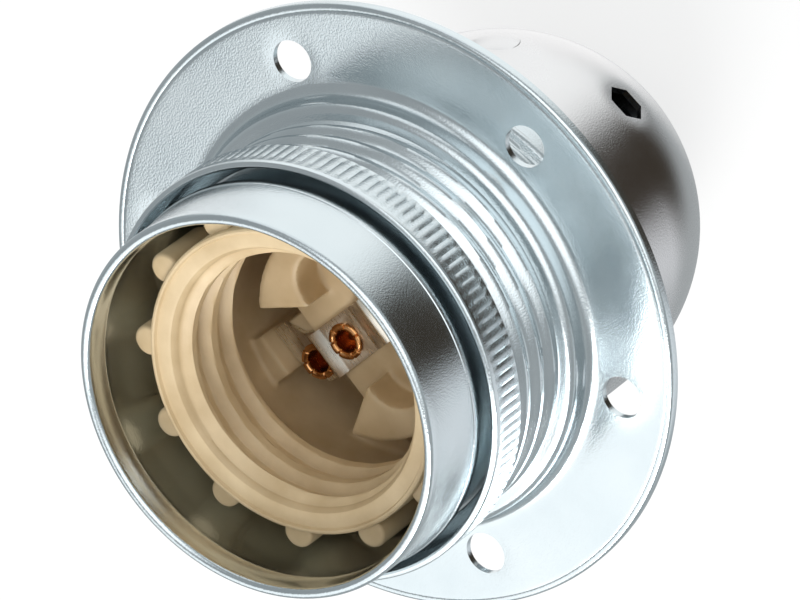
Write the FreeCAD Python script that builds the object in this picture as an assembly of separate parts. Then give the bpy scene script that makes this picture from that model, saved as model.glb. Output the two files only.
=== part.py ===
import FreeCAD, Part
import math
import os

# Screw-shell lampholder: a domed rear cap with a threaded cable entry, a threaded metal skirt that
# screws to the cap, a flange ring that screws along the skirt, and a moulded inside that carries
# the contacts. Millimetres. +Z runs along the axis towards the mouth that takes the lamp, and the
# origin is on the axis at the rear face of the cable entry. The contact strip runs along +Y.
# Radii grow outwards from the lamp's thread, and heights grow forwards from the cable entry.

# ---- Clearances --------------------------------------------------------------------------------
RUNNING_GAP = 0.05          # radial clearance of a screw shank in its threaded hole
THREAD_GAP = 0.08           # radial clearance between two meshing rolled threads
LOOSE_GAP = 0.3             # clearance between neighbours that only pass each other
SEAT_GAP = 0.1              # radial clearance of the insert in the base

# ---- Moulded thread insert ---------------------------------------------------------------------
LAMP_THREAD_R = 13.35       # E27 round thread, major radius
LAMP_THREAD_DEPTH = 1.05
LAMP_PITCH = 3.629
LAMP_THREAD_DOWN = 2.1
LAMP_TURNS = 2
INSERT_WALL = 2.5
INSERT_HEIGHT = 10.6
INSERT_LIP = 0.55
INSERT_LIP_DEPTH = 0.35
INSERT_CHAMFER = 0.55
LUG_COUNT = 12
LUG_R = 1.55
LUG_OVERHANG = 0.15         # how far the lugs stand out past the base
LUG_DROP = 2.4              # top of a lug below the insert's front face
LUG_HEIGHT = 5.5

# ---- Moulded contact base ----------------------------------------------------------------------
BASE_WALL = 1.65
BASE_FLOOR = 2.2
BASE_AHEAD = 3.2            # the base's rear face, ahead of the cap's front edge
INSIDE_LENGTH = 27.1        # from the base's rear face to the insert's front face
CORE_STEP = 0.05            # the core is this much smaller than the lamp's thread
TOWER_HEIGHT = 14.0         # above the base's rear face
TOWER_SETBACK = 2.0
CHANNEL = 9.4               # width of the channel between the towers
CHAMBER = 4.4               # width of the open chambers at the sides
CHAMBER_HEIGHT = 5.0
BOSS_R = 2.2
BOSS_HEIGHT = 3.0

# ---- Threaded skirt ----------------------------------------------------------------------------
BASE_SPACE = 1.05           # radial space between the base and the skirt
SKIRT_SHEET = 0.55
PITCH = 2.5                 # rolled M40x2.5 thread
THREAD_DEPTH = 0.8
THREAD_TURNS = 10
TAIL_STEP = 0.48            # the tail in the cap is this much smaller than the thread's root
TAIL_LENGTH = 6.0
SKIRT_LEAD = 1.42
NECK_GROOVE = 1.5           # plain groove between the thread and the collar
COLLAR_RISE = 0.15          # the collar stands this much above the thread
COLLAR_ROUND = 0.4
COLLAR_BEAD = 0.9
COLLAR_STEP = 0.12
COLLAR_TAPER = 0.38
COLLAR_LENGTH = 7.4
HEM_LENGTH = 2.4            # the mouth's edge is folded inwards this far

# ---- Rear cap ----------------------------------------------------------------------------------
CAP_SHEET = 0.7
CAP_END_R = 8.0             # flat round the entry, where the dome stops
CAP_STRAIGHT = 8.5          # straight wall between the dome and the cap's front edge
HEX_FLATS = 3.7             # hexagonal release hole in the dome
HEX_DOWN = 4.0              # its centre, this far behind the start of the straight wall
HEX_AZIMUTH = -82.5

# ---- Cable entry -------------------------------------------------------------------------------
ENTRY_R = 4.5               # bore of the M10x1 cable entry
BUSH_WALL = 2.0
BUSH_STANDS_OUT = 4.5
BUSH_FLANGE_WIDTH = 1.1
BUSH_FLANGE = 1.2
BUSH_STUB_WALL = 1.1        # stub that is riveted over the bridge
BUSH_RIVET_WIDTH = 1.0
BUSH_RIVET = 0.5
BUSH_CHAMFER = 0.4
LOCK_SCREW_R = 1.5
LOCK_SCREW_LENGTH = 1.8
SLOT_WIDTH = 0.6
SLOT_DEPTH = 0.7

# ---- Flange ring -------------------------------------------------------------------------------
RING_SHEET = 0.7
FLANGE_R = 31.5
FLANGE_LIP = 1.15           # how far the outer edge is turned back
FLANGE_EDGE_R = 0.9
HOLE_COUNT = 6
HOLE_INSET = 5.4            # from the flange's edge to the middle of a hole
HOLE_R = 2.15
HOLE_AZIMUTH = 40.5
RING_FOOT = 3.1             # from the flange's face to the ring's first thread crest
SHOULDER_STEP = 2.3         # the shoulder stands this far outside the skirt's thread
SHOULDER_RISE = 2.9
SHOULDER_FOOT = 1.3         # fillet from the flange into the shoulder
SHOULDER_TOP = 1.0
COLLAR_LEAD = 0.1           # plain wall before the ring's first thread groove
RING_TURNS = 3
RING_SKIPS = 5.5            # skirt turns that lie behind the ring's first crest
RING_RAMP = 0.9
KNURL_STEP = 1.75           # the grip band stands this far outside the skirt's thread
KNURL_LENGTH = 4.3
LIP_CHAMFER = 0.3

# ---- Contacts and terminals --------------------------------------------------------------------
STRIP_WIDTH = 5.0
STRIP_SHEET = 0.5
STRIP_HEIGHT = 10.75        # underside of the centre strip, above the base's rear face
STRIP_STEP = 1.5            # the strip's outer end lies this much lower
STEP_INSET = 5.1
TONGUE_Y = 1.4
TONGUE_REACH = 4.4
TONGUE_RISE = 4.3
EYELET_R = 1.4
EYELET_HOLE_R = 1.1
EYELET_RIM_R = 2.0
EYELET_RIM = 0.35
EYELET_DEPTH = 3.0
PLATE_EYELET_INSET = 7.4
STEP_EYELET_INSET = 2.1
SIDE_WIDTH = 4.0
SIDE_GAP = 1.2              # from the lamp thread's crest to the side contact
SIDE_BEND = 12.0
SIDE_CONTACT = 18.5
SIDE_HEIGHT = 21.0
TERMINAL_INSET = 3.3        # from the lamp thread's crest to the terminal's middle
TERMINAL_SIZE = 6.0
TERMINAL_HEIGHT = 5.0
TAIL_OVERLAP = 4.0          # how far a contact's tail reaches down its terminal block
TAIL_CLEAR = 0.2
WIRE_HOLE_R = 1.3
WIRE_HOLE_DOWN = 2.0
CLAMP_SCREW_R = 1.5
CLAMP_HEAD_R = 2.6
CLAMP_HEAD = 2.0
CLAMP_NECK = 0.4            # free shank between a clamp screw's head and its block

# ---- Bridge and earth terminal -----------------------------------------------------------------
BRIDGE_SHEET = 1.0
BRIDGE_WIDTH = 10.0
BRIDGE_HUB_STEP = 2.0       # the hub stands this far outside the entry bush
BRIDGE_BEND_STEP = 1.1
BRIDGE_KNEE = 8.6
FOOT_INSET = 0.6            # from the base's edge to the end of a foot
FIXING_INSET = 1.7
FIXING_R = 1.25
FIXING_HEAD_R = 2.1
FIXING_HEAD = 1.8
FIXING_GRIP = 4.0
ARM_CLEAR = 0.3
BRIDGE_AZIMUTH = 50.0
EARTH_AZIMUTH = -40.0
EARTH_SHEET = 0.8
EARTH_WIDTH = 6.0
EARTH_HALF = 2.9            # the upright plate reaches this far each way from its rivet
EARTH_PLATE_GAP = 0.8       # packing collar between the plate and the cap
EARTH_SCREW_INSET = 5.8
EARTH_LEG_PAST = 4.2
RIVET_DOWN = 0.98
RIVET_R = 1.5
RIVET_HEAD_R = 2.5
RIVET_HEAD = 0.3
RIVET_TAIL_R = 1.9
RIVET_TAIL = 0.5
EARTH_SCREW_R = 2.0
EARTH_HEAD_R = 3.2
EARTH_HEAD = 2.2
EARTH_COLLAR = 2.4          # threaded collar drawn down out of the leg
EARTH_COLLAR_R = 3.0
WASHER_R = 3.7
WASHER_GAP = 0.2
WASHER_SHEET = 0.8

# ---- Radii that follow -------------------------------------------------------------------------
LAMP_CREST_R = LAMP_THREAD_R - LAMP_THREAD_DEPTH
INSERT_R = LAMP_THREAD_R + INSERT_WALL
BASE_R = INSERT_R + SEAT_GAP + BASE_WALL
LUG_REACH = BASE_R + LUG_OVERHANG
CORE_R = LAMP_THREAD_R - CORE_STEP
ROOT_R = BASE_R + BASE_SPACE + SKIRT_SHEET
THREAD_R = ROOT_R + THREAD_DEPTH
TAIL_R = ROOT_R - TAIL_STEP
CAP_R = TAIL_R + THREAD_GAP + CAP_SHEET
COLLAR_R = THREAD_R + COLLAR_RISE
RIM_R = COLLAR_R - COLLAR_TAPER
SHOULDER_R = THREAD_R + SHOULDER_STEP
KNURL_R = THREAD_R + KNURL_STEP
BUSH_R = ENTRY_R + BUSH_WALL
BUSH_STUB_R = ENTRY_R + BUSH_STUB_WALL
TERMINAL_Y = LAMP_CREST_R - TERMINAL_INSET
TAIL_FACE = TERMINAL_Y + TERMINAL_SIZE / 2
SIDE_REACH = LAMP_CREST_R - SIDE_GAP
CORE_REACH = TAIL_FACE - TAIL_CLEAR
TOWER_REACH = TAIL_FACE - TOWER_SETBACK
STEP_Y = TAIL_FACE - STEP_INSET
PLATE_EYELET_Y = TAIL_FACE - PLATE_EYELET_INSET
STEP_EYELET_Y = TAIL_FACE - STEP_EYELET_INSET
BRIDGE_HUB_R = BUSH_R + BRIDGE_HUB_STEP
BRIDGE_BEND_R = BUSH_R + BRIDGE_BEND_STEP
BRIDGE_FOOT = BASE_R - FOOT_INSET
FIXING_AT = BRIDGE_FOOT - FIXING_INSET
BRIDGE_ARM = FIXING_AT - FIXING_HEAD_R - ARM_CLEAR
EARTH_PLATE = CAP_R - CAP_SHEET - EARTH_PLATE_GAP
EARTH_SCREW_AT = EARTH_PLATE - EARTH_SCREW_INSET
EARTH_LEG_END = EARTH_SCREW_AT - EARTH_LEG_PAST

# ---- Heights that follow -----------------------------------------------------------------------
ORIGIN = FreeCAD.Vector(0, 0, 0)
UP = FreeCAD.Vector(0, 0, 1)
CAP_END_Z = BUSH_STANDS_OUT
DOME_Z = CAP_END_Z + math.sqrt(CAP_R ** 2 - CAP_END_R ** 2)
CAP_FRONT_Z = DOME_Z + CAP_STRAIGHT
HUB_Z = CAP_END_Z + CAP_SHEET + BUSH_FLANGE
KNEE_Z = HUB_Z + BRIDGE_KNEE
RIVET_Z = DOME_Z - RIVET_DOWN
EARTH_LEG_Z = RIVET_Z - EARTH_HALF
EARTH_TOP_Z = RIVET_Z + EARTH_HALF
BASE_Z = CAP_FRONT_Z + BASE_AHEAD
FOOT_Z = BASE_Z - BRIDGE_SHEET
TERMINAL_Z = BASE_Z - TERMINAL_HEIGHT
TOWER_TOP_Z = BASE_Z + TOWER_HEIGHT
CHAMBER_Z = BASE_Z + CHAMBER_HEIGHT
STRIP_Z = BASE_Z + STRIP_HEIGHT
STEP_Z = STRIP_Z - STRIP_STEP
INSERT_TOP_Z = BASE_Z + INSIDE_LENGTH
LUG_TOP_Z = INSERT_TOP_Z - LUG_DROP
BASE_RIM_Z = LUG_TOP_Z - LUG_HEIGHT
THREAD_Z = CAP_FRONT_Z + LOOSE_GAP + SKIRT_LEAD
COLLAR_Z = THREAD_Z + THREAD_TURNS * PITCH + NECK_GROOVE + COLLAR_ROUND
RIM_Z = COLLAR_Z + COLLAR_LENGTH
RING_THREAD_Z = THREAD_Z + RING_SKIPS * PITCH
FLANGE_Z = RING_THREAD_Z - RING_FOOT
RING_KNURL_Z = RING_THREAD_Z + RING_TURNS * PITCH + RING_RAMP
RING_FRONT_Z = RING_KNURL_Z + KNURL_LENGTH


# ---- Shared operations -------------------------------------------------------------------------
def at(radius, height):
    return FreeCAD.Vector(radius, 0, height)


def profile(start, *steps):
    """A wire in the XZ plane. A step is a point, or a pair: a point on an arc and the arc's end."""
    edges = []
    here = at(*start)
    for step in steps:
        if isinstance(step[0], tuple):
            there = at(*step[1])
            edges.append(Part.Arc(here, at(*step[0]), there).toShape())
        else:
            there = at(*step)
            edges.append(Part.makeLine(here, there))
        here = there
    return Part.Wire(edges)


def turned(start, *steps):
    """A solid turned about the axis from a closed profile."""
    return Part.Face(profile(start, *steps, start)).revolve(ORIGIN, UP, 360)


def pressed(sheet, start, *steps):
    """Sheet metal spun to a profile that runs towards the mouth, with its wall inside it."""
    band = profile(start, *steps).makeOffset2D(sheet, 2, True, True, False)
    return band.revolve(ORIGIN, UP, 360)


def rolled(sheet, *points):
    """Sheet metal whose two sides carry the same straight-sided profile, one sheet apart in radius."""
    inner = [(radius - sheet, height) for radius, height in reversed(points)]
    return turned(*points, *inner)


def flanks(start_z, turns, middle_r, end_r):
    """The points of a row of thread turns, each with one flank to middle_r and one to end_r."""
    points = []
    for turn in range(turns):
        foot = start_z + turn * PITCH
        points.append((middle_r, foot + PITCH / 2))
        points.append((end_r, foot + PITCH))
    return points


def strip(sheet, width, start, *steps):
    """A bent strip in the XZ plane, with its sheet to the left of the line that it is drawn along."""
    band = profile(start, *steps).makeOffset2D(sheet, 0, True, True, False)
    band.translate(FreeCAD.Vector(0, -width / 2, 0))
    return band.extrude(FreeCAD.Vector(0, width, 0))


def rod(radius, height, x, y, z):
    return Part.makeCylinder(radius, height, FreeCAD.Vector(x, y, z), UP)


def cross_rod(radius, length, x, z):
    """A cylinder along +X that starts at x."""
    return Part.makeCylinder(radius, length, FreeCAD.Vector(x, 0, z), FreeCAD.Vector(1, 0, 0))


def block(x0, x1, y0, y1, z0, z1):
    return Part.makeBox(x1 - x0, y1 - y0, z1 - z0, FreeCAD.Vector(x0, y0, z0))


def spun(shape, angle):
    copy = shape.copy()
    copy.rotate(ORIGIN, UP, angle)
    return copy


# ---- Rear half ---------------------------------------------------------------------------------
def make_rear_cap():
    middle = (math.asin(CAP_END_R / CAP_R) + math.pi / 2) / 2
    on_dome = (CAP_R * math.sin(middle), DOME_Z - CAP_R * math.cos(middle))
    shell = pressed(
        CAP_SHEET,
        (BUSH_R, CAP_END_Z),
        (CAP_END_R, CAP_END_Z),
        (on_dome, (CAP_R, DOME_Z)),
        (CAP_R, CAP_FRONT_Z),
    )
    corner = HEX_FLATS / math.sqrt(3)
    outline = []
    for k in range(7):
        turn = math.radians(60 * k)
        outline.append(FreeCAD.Vector(0, corner * math.cos(turn), DOME_Z - HEX_DOWN + corner * math.sin(turn)))
    punch = Part.Face(Part.makePolygon(outline)).extrude(FreeCAD.Vector(CAP_R + 1, 0, 0))
    rivet_hole = cross_rod(RIVET_R, CAP_R + 1, 0, RIVET_Z)
    return shell.cut(spun(punch, HEX_AZIMUTH)).cut(spun(rivet_hole, EARTH_AZIMUTH))


def make_entry_bush():
    flange_z = CAP_END_Z + CAP_SHEET
    rivet_z = HUB_Z + BRIDGE_SHEET
    body = turned(
        (ENTRY_R, 0),
        (BUSH_R - BUSH_CHAMFER, 0),
        (BUSH_R, BUSH_CHAMFER),
        (BUSH_R, flange_z),
        (BUSH_R + BUSH_FLANGE_WIDTH, flange_z),
        (BUSH_R + BUSH_FLANGE_WIDTH, HUB_Z),
        (BUSH_STUB_R, HUB_Z),
        (BUSH_STUB_R, rivet_z),
        (BUSH_STUB_R + BUSH_RIVET_WIDTH, rivet_z),
        (BUSH_STUB_R + BUSH_RIVET_WIDTH - BUSH_RIVET / 2, rivet_z + BUSH_RIVET),
        (ENTRY_R, rivet_z + BUSH_RIVET),
    )
    return body.cut(spun(cross_rod(LOCK_SCREW_R + RUNNING_GAP, BUSH_R, 0, BUSH_STANDS_OUT / 2), -90))


def make_lock_screw():
    middle = BUSH_STANDS_OUT / 2
    screw = cross_rod(LOCK_SCREW_R, LOCK_SCREW_LENGTH, BUSH_R - LOCK_SCREW_LENGTH, middle)
    slot = block(BUSH_R - SLOT_DEPTH, BUSH_R + 1, -BUSH_R, BUSH_R, middle - SLOT_WIDTH / 2, middle + SLOT_WIDTH / 2)
    return spun(screw.cut(slot), -90)


def make_support_bridge():
    strap = strip(
        BRIDGE_SHEET,
        BRIDGE_WIDTH,
        (-BRIDGE_FOOT, FOOT_Z),
        (-BRIDGE_ARM, FOOT_Z),
        (-BRIDGE_ARM, KNEE_Z),
        (-BRIDGE_BEND_R, HUB_Z),
        (BRIDGE_BEND_R, HUB_Z),
        (BRIDGE_ARM, KNEE_Z),
        (BRIDGE_ARM, FOOT_Z),
        (BRIDGE_FOOT, FOOT_Z),
    )
    bridge = strap.fuse(rod(BRIDGE_HUB_R, BRIDGE_SHEET, 0, 0, HUB_Z)).removeSplitter()
    bridge = bridge.cut(rod(BUSH_STUB_R, BRIDGE_SHEET, 0, 0, HUB_Z))
    for side in (-1, 1):
        bridge = bridge.cut(rod(FIXING_R + LOOSE_GAP, BRIDGE_SHEET, side * FIXING_AT, 0, FOOT_Z))
    return spun(bridge, BRIDGE_AZIMUTH)


def make_base_screws():
    screws = []
    for side in (-1, 1):
        shank = rod(FIXING_R, BRIDGE_SHEET + FIXING_GRIP, side * FIXING_AT, 0, FOOT_Z)
        head = rod(FIXING_HEAD_R, FIXING_HEAD, side * FIXING_AT, 0, FOOT_Z - FIXING_HEAD)
        bottom = FOOT_Z - FIXING_HEAD
        slot = block(-CAP_R, CAP_R, -SLOT_WIDTH / 2, SLOT_WIDTH / 2, bottom - 1, bottom + SLOT_DEPTH)
        screws.append(spun(shank.fuse(head).cut(slot), BRIDGE_AZIMUTH))
    return Part.makeCompound(screws)


def make_earth_terminal():
    tab = strip(
        EARTH_SHEET,
        EARTH_WIDTH,
        (EARTH_LEG_END, EARTH_LEG_Z),
        (EARTH_PLATE, EARTH_LEG_Z),
        (EARTH_PLATE, EARTH_TOP_Z),
    )
    collar = rod(EARTH_COLLAR_R, EARTH_COLLAR, EARTH_SCREW_AT, 0, EARTH_LEG_Z - EARTH_COLLAR)
    tab = tab.fuse(collar)
    depth = EARTH_COLLAR + EARTH_SHEET
    tab = tab.cut(rod(EARTH_SCREW_R + RUNNING_GAP, depth, EARTH_SCREW_AT, 0, EARTH_LEG_Z - EARTH_COLLAR))
    tab = tab.cut(cross_rod(RIVET_R, 2 * EARTH_SHEET, EARTH_PLATE - 1.5 * EARTH_SHEET, RIVET_Z))
    return spun(tab, EARTH_AZIMUTH)


def make_earth_rivet(cap):
    inner = EARTH_PLATE - EARTH_SHEET
    shank = cross_rod(RIVET_R, EARTH_SHEET, inner, RIVET_Z)
    head = cross_rod(RIVET_HEAD_R, CAP_R + RIVET_HEAD - EARTH_PLATE, EARTH_PLATE, RIVET_Z)
    tail = cross_rod(RIVET_TAIL_R, RIVET_TAIL, inner - RIVET_TAIL, RIVET_Z)
    return spun(shank.multiFuse([head, tail]), EARTH_AZIMUTH).cut(cap)


def make_earth_washer():
    top = EARTH_LEG_Z + EARTH_SHEET
    disc = rod(WASHER_R, WASHER_SHEET, EARTH_SCREW_AT, 0, top)
    return spun(disc.cut(rod(EARTH_SCREW_R + WASHER_GAP, WASHER_SHEET, EARTH_SCREW_AT, 0, top)), EARTH_AZIMUTH)


def make_earth_screw():
    seat = EARTH_LEG_Z + EARTH_SHEET + WASHER_SHEET + RUNNING_GAP
    bottom = EARTH_LEG_Z - EARTH_COLLAR
    shank = rod(EARTH_SCREW_R, seat - bottom, EARTH_SCREW_AT, 0, bottom)
    head = rod(EARTH_HEAD_R, EARTH_HEAD, EARTH_SCREW_AT, 0, seat)
    top = seat + EARTH_HEAD
    slot = block(0, CAP_R, -SLOT_WIDTH / 2, SLOT_WIDTH / 2, top - SLOT_DEPTH, top + 1)
    return spun(shank.fuse(head).cut(slot), EARTH_AZIMUTH)


# ---- Skirt and ring ----------------------------------------------------------------------------
def make_threaded_skirt():
    groove_z = COLLAR_Z - COLLAR_ROUND - NECK_GROOVE / 2
    tail = rolled(
        SKIRT_SHEET,
        (TAIL_R, CAP_FRONT_Z - TAIL_LENGTH),
        (TAIL_R, CAP_FRONT_Z + LOOSE_GAP),
        (ROOT_R, CAP_FRONT_Z + 2 * LOOSE_GAP),
        (ROOT_R, THREAD_Z),
    )
    threaded = turned(
        (ROOT_R, THREAD_Z),
        *flanks(THREAD_Z, THREAD_TURNS, THREAD_R, ROOT_R),
        (ROOT_R, groove_z),
        (ROOT_R - SKIRT_SHEET, groove_z),
        (ROOT_R - SKIRT_SHEET, THREAD_Z),
    )
    rise = COLLAR_R - ROOT_R
    collar = pressed(
        SKIRT_SHEET,
        (ROOT_R, groove_z),
        (ROOT_R, COLLAR_Z - COLLAR_ROUND),
        (COLLAR_R - rise / 4, COLLAR_Z - COLLAR_ROUND / 3),
        (COLLAR_R, COLLAR_Z + COLLAR_ROUND / 3),
        (COLLAR_R, COLLAR_Z + COLLAR_BEAD),
        (COLLAR_R - COLLAR_STEP, COLLAR_Z + COLLAR_BEAD + COLLAR_STEP),
        (RIM_R, RIM_Z - HEM_LENGTH),
        (RIM_R, RIM_Z),
    )
    fold_r = RIM_R - SKIRT_SHEET
    hem_r = fold_r - SKIRT_SHEET
    hem = turned(
        (RIM_R, RIM_Z),
        ((fold_r, RIM_Z + SKIRT_SHEET), (hem_r, RIM_Z)),
        (hem_r, RIM_Z - HEM_LENGTH),
        (fold_r, RIM_Z - HEM_LENGTH),
        (fold_r, RIM_Z),
    )
    return tail.multiFuse([threaded, collar, hem]).removeSplitter()


def make_flange_ring():
    crest = THREAD_R + THREAD_GAP + RING_SHEET
    edge = FLANGE_R - FLANGE_EDGE_R
    bevel = FLANGE_EDGE_R * (1 - math.sqrt(0.5))
    bend = math.sqrt(0.5)
    shoulder_z = FLANGE_Z + SHOULDER_RISE
    plate = pressed(
        RING_SHEET,
        (FLANGE_R, FLANGE_Z - FLANGE_LIP),
        (FLANGE_R, FLANGE_Z - FLANGE_EDGE_R),
        ((FLANGE_R - bevel, FLANGE_Z - bevel), (edge, FLANGE_Z)),
        (SHOULDER_R + SHOULDER_FOOT, FLANGE_Z),
        (
            (SHOULDER_R + SHOULDER_FOOT * (1 - bend), FLANGE_Z + SHOULDER_FOOT * (1 - bend)),
            (SHOULDER_R, FLANGE_Z + SHOULDER_FOOT),
        ),
        (SHOULDER_R, shoulder_z - SHOULDER_TOP),
        (
            (SHOULDER_R - SHOULDER_TOP * (1 - bend), shoulder_z - SHOULDER_TOP * (1 - bend)),
            (SHOULDER_R - SHOULDER_TOP, shoulder_z),
        ),
        (crest, shoulder_z),
        (crest, shoulder_z + COLLAR_LEAD),
    )
    sleeve = rolled(
        RING_SHEET,
        (crest, shoulder_z + COLLAR_LEAD),
        (crest, RING_THREAD_Z),
        *flanks(RING_THREAD_Z, RING_TURNS, crest - THREAD_DEPTH, crest),
        (KNURL_R, RING_KNURL_Z),
        (KNURL_R, RING_FRONT_Z - LIP_CHAMFER),
        (KNURL_R - LIP_CHAMFER, RING_FRONT_Z),
    )
    ring = plate.fuse(sleeve).removeSplitter()
    for k in range(HOLE_COUNT):
        hole = rod(HOLE_R, 2 * RING_SHEET, FLANGE_R - HOLE_INSET, 0, FLANGE_Z - 1.5 * RING_SHEET)
        ring = ring.cut(spun(hole, HOLE_AZIMUTH + k * 360 / HOLE_COUNT))
    return ring


# ---- Moulded inside ----------------------------------------------------------------------------
def make_thread_insert():
    bottom = INSERT_TOP_Z - INSERT_HEIGHT
    face_z = INSERT_TOP_Z - INSERT_LIP_DEPTH
    middle = (LAMP_THREAD_R + LAMP_CREST_R) / 2
    height = INSERT_TOP_Z - LAMP_THREAD_DOWN
    bore = [(middle, height)]
    for turn in range(LAMP_TURNS):
        bore.append((LAMP_CREST_R, height - LAMP_PITCH / 4))
        bore.append((LAMP_THREAD_R, height - 3 * LAMP_PITCH / 4))
        height -= LAMP_PITCH
    ring = turned(
        (INSERT_R, bottom),
        (INSERT_R, INSERT_TOP_Z),
        (INSERT_R - INSERT_LIP, INSERT_TOP_Z),
        (INSERT_R - INSERT_LIP, face_z),
        (LAMP_THREAD_R + INSERT_CHAMFER, face_z),
        (LAMP_THREAD_R, face_z - INSERT_CHAMFER),
        *bore,
        (middle, height),
        (middle, bottom),
    )
    centre = LUG_REACH - LUG_R
    lugs = []
    for k in range(LUG_COUNT):
        lug = rod(LUG_R, LUG_HEIGHT, centre, 0, BASE_RIM_Z)
        web = block(INSERT_R - LUG_R / 2, centre, -LUG_R, LUG_R, BASE_RIM_Z, LUG_TOP_Z)
        lugs.append(spun(lug.fuse(web), (k + 0.5) * 360 / LUG_COUNT))
    return ring.multiFuse(lugs).removeSplitter()


def make_contact_base():
    seat_r = INSERT_R + SEAT_GAP
    floor_z = BASE_Z + BASE_FLOOR
    cup = turned(
        (0, BASE_Z),
        (BASE_R, BASE_Z),
        (BASE_R, BASE_RIM_Z),
        (seat_r, BASE_RIM_Z),
        (seat_r, floor_z),
        (0, floor_z),
    )
    core = rod(CORE_R, TOWER_TOP_Z - floor_z, 0, 0, floor_z)
    core = core.common(block(-CORE_R, CORE_R, -CORE_REACH, CORE_REACH, floor_z, TOWER_TOP_Z))
    half = CHANNEL / 2
    core = core.cut(block(-half, half, -CORE_R, CORE_R, STRIP_Z, TOWER_TOP_Z))
    for side in (-1, 1):
        step = block(-half, half, STEP_Y, CORE_R, STEP_Z, TOWER_TOP_Z)
        end = block(-CORE_R, CORE_R, TOWER_REACH, CORE_R, STEP_Z, TOWER_TOP_Z)
        core = core.cut(spun(step.fuse(end), 90 - 90 * side))
        chamber = block(half, CORE_R, -CHAMBER / 2, CHAMBER / 2, CHAMBER_Z, TOWER_TOP_Z)
        core = core.cut(spun(chamber, 90 - 90 * side))
    bosses = []
    for side in (0, 180):
        bosses.append(spun(rod(BOSS_R, BOSS_HEIGHT, FIXING_AT, 0, floor_z), BRIDGE_AZIMUTH + side))
    base = cup.multiFuse([core] + bosses).removeSplitter()
    slot_half = STRIP_WIDTH / 2 + LOOSE_GAP
    for side in (0, 180):
        tail_end = TAIL_FACE + STRIP_SHEET + LOOSE_GAP
        slot = block(-slot_half, slot_half, CORE_REACH, tail_end, BASE_Z, floor_z)
        base = base.cut(spun(slot, side))
        hole = rod(FIXING_R, FIXING_GRIP, FIXING_AT, 0, BASE_Z)
        base = base.cut(spun(hole, BRIDGE_AZIMUTH + side))
    for place, top in ((PLATE_EYELET_Y, STRIP_Z), (STEP_EYELET_Y, STEP_Z)):
        base = base.cut(rod(EYELET_R, EYELET_DEPTH, 0, place, top - EYELET_DEPTH))
    return base


# ---- Contacts ----------------------------------------------------------------------------------
def make_centre_contact():
    tongue = strip(
        STRIP_SHEET,
        STRIP_WIDTH,
        (-TONGUE_REACH, STRIP_Z + 0.82 * TONGUE_RISE),
        (-0.7 * TONGUE_REACH, STRIP_Z + TONGUE_RISE),
        (-0.4 * TONGUE_REACH, STRIP_Z + 0.95 * TONGUE_RISE),
        (TONGUE_Y, STRIP_Z),
        (STEP_Y, STRIP_Z),
        (STEP_Y + STRIP_SHEET, STEP_Z),
        (TAIL_FACE, STEP_Z),
        (TAIL_FACE, BASE_Z - TAIL_OVERLAP),
    )
    for place in (PLATE_EYELET_Y, STEP_EYELET_Y):
        tongue = tongue.cut(rod(EYELET_R, TOWER_TOP_Z, place, 0, 0))
    return spun(tongue, 90)


def make_eyelet(place, plate_z):
    """A tubular rivet whose flared rim holds the strip down on the base."""
    rim_z = plate_z + STRIP_SHEET
    tube = rod(EYELET_R, EYELET_DEPTH + STRIP_SHEET, 0, place, plate_z - EYELET_DEPTH)
    rim = rod(EYELET_RIM_R, EYELET_RIM, 0, place, rim_z)
    hole = rod(EYELET_HOLE_R, EYELET_DEPTH, 0, place, rim_z + EYELET_RIM - EYELET_DEPTH)
    return tube.fuse(rim).cut(hole)


def make_side_contact():
    outer = TAIL_FACE + STRIP_SHEET
    leaf = strip(
        STRIP_SHEET,
        SIDE_WIDTH,
        (outer, BASE_Z - TAIL_OVERLAP),
        (outer, BASE_Z + SIDE_BEND),
        ((outer + SIDE_REACH) / 2 - STRIP_SHEET / 2, BASE_Z + (SIDE_BEND + SIDE_CONTACT) / 2),
        (SIDE_REACH, BASE_Z + SIDE_CONTACT),
        (SIDE_REACH + STRIP_SHEET, BASE_Z + SIDE_HEIGHT),
    )
    return spun(leaf, -90)


def make_terminal(side):
    """A brass block under the base, with a cross hole for the wire and a hole for its clamp screw."""
    half = TERMINAL_SIZE / 2
    body = block(-half, half, TERMINAL_Y - half, TERMINAL_Y + half, TERMINAL_Z, BASE_Z)
    wire_z = BASE_Z - WIRE_HOLE_DOWN
    wire = Part.makeCylinder(WIRE_HOLE_R, TERMINAL_SIZE, FreeCAD.Vector(-half, TERMINAL_Y, wire_z),
                             FreeCAD.Vector(1, 0, 0))
    screw_hole = rod(CLAMP_SCREW_R + RUNNING_GAP, wire_z - TERMINAL_Z, 0, TERMINAL_Y, TERMINAL_Z)
    return spun(body.cut(wire).cut(screw_hole), side)


def make_clamp_screw(side):
    head_z = TERMINAL_Z - CLAMP_NECK - CLAMP_HEAD
    tip_z = BASE_Z - WIRE_HOLE_DOWN - WIRE_HOLE_R / 2
    head = rod(CLAMP_HEAD_R, CLAMP_HEAD, 0, TERMINAL_Y, head_z)
    shank = rod(CLAMP_SCREW_R, tip_z - head_z - CLAMP_HEAD, 0, TERMINAL_Y, head_z + CLAMP_HEAD)
    slot = block(-CLAMP_HEAD_R, CLAMP_HEAD_R, TERMINAL_Y - SLOT_WIDTH / 2, TERMINAL_Y + SLOT_WIDTH / 2,
                 head_z - 1, head_z + SLOT_DEPTH)
    return spun(head.fuse(shank).cut(slot), side)


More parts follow.
